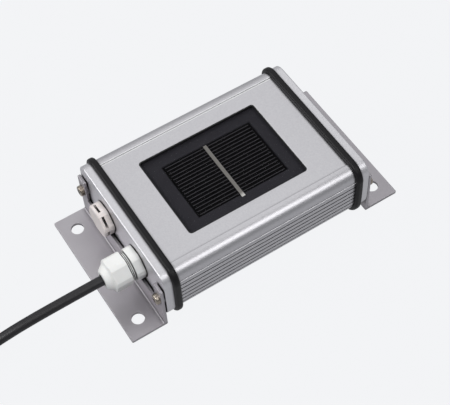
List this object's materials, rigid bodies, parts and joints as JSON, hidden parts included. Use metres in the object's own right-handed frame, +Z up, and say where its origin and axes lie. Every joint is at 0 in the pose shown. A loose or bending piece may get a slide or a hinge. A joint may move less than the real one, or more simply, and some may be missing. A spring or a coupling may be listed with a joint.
{
  "type": "solar irradiance sensor",
  "caption": "Solar irradiance sensor: a reference cell under glass in a ribbed aluminium housing with end caps, gaskets, mounting feet, a vent plug and a cable from a gland.",
  "frame": {"origin": "middle of the four mounting holes, in the plane the feet stand on", "axes": "+X along the housing away from the cable gland, +Y across it towards the vent plug, +Z up out of the window"},
  "size_m": [0.3276, 0.1087, 0.0401],
  "materials": {
    "anodised_aluminium": "satin anodised",
    "mill_aluminium": "fine brushed",
    "gasket_rubber": "moulded, matt",
    "screw_steel": "polished stainless steel",
    "sealant": "cured bead",
    "cover_glass": "clear, anti-reflective",
    "mask_film": "black film",
    "silicon": "black silicon",
    "printed_silver": "printed and fired",
    "tinned_copper": "tinned",
    "backsheet_film": "black film",
    "board_laminate": "green solder mask",
    "resistor_body": "moulded",
    "sensor_body": "moulded",
    "terminal_plastic": "moulded",
    "gland_nylon": "moulded nylon",
    "washer_rubber": "moulded",
    "vent_nylon": "moulded nylon",
    "membrane_ptfe": "porous film",
    "cable_sheath": "extruded sheath",
    "core_insulation": "extruded",
    "tie_nylon": "moulded"
  },
  "bodies": {
    "root": {"extruded_housing": "anodised_aluminium", "end_cap_front": "anodised_aluminium", "end_cap_rear": "anodised_aluminium", "bracket_front": "mill_aluminium", "bracket_rear": "mill_aluminium", "gasket_front": "gasket_rubber", "gasket_rear": "gasket_rubber", "bracket_screws_front": "screw_steel", "bracket_screws_rear": "screw_steel", "window_seal": "sealant", "cover_glass": "cover_glass", "laminate_mask": "mask_film", "solar_cell": "silicon", "cell_fingers": "printed_silver", "busbar_ribbon": "tinned_copper", "backsheet": "backsheet_film", "cell_leads": "tinned_copper", "sensor_leads": "tinned_copper", "circuit_board": "board_laminate", "shunt_resistor": "resistor_body", "temperature_sensor": "sensor_body", "terminal_block": "terminal_plastic", "gland_body": "gland_nylon", "gland_dome_nut": "gland_nylon", "gland_locknut": "gland_nylon", "gland_washer": "washer_rubber", "gland_seal_insert": "washer_rubber", "vent_body": "vent_nylon", "vent_locknut": "vent_nylon", "vent_washer": "washer_rubber", "vent_membrane": "membrane_ptfe", "cable_in_gland": "cable_sheath", "cable_lead": "cable_sheath", "cable_coil": "cable_sheath", "cable_tail": "cable_sheath", "inner_cores": "core_insulation", "bare_cores": "core_insulation", "core_ferrules": "tinned_copper", "coil_ties": "tie_nylon"}
  },
  "joints": []
}
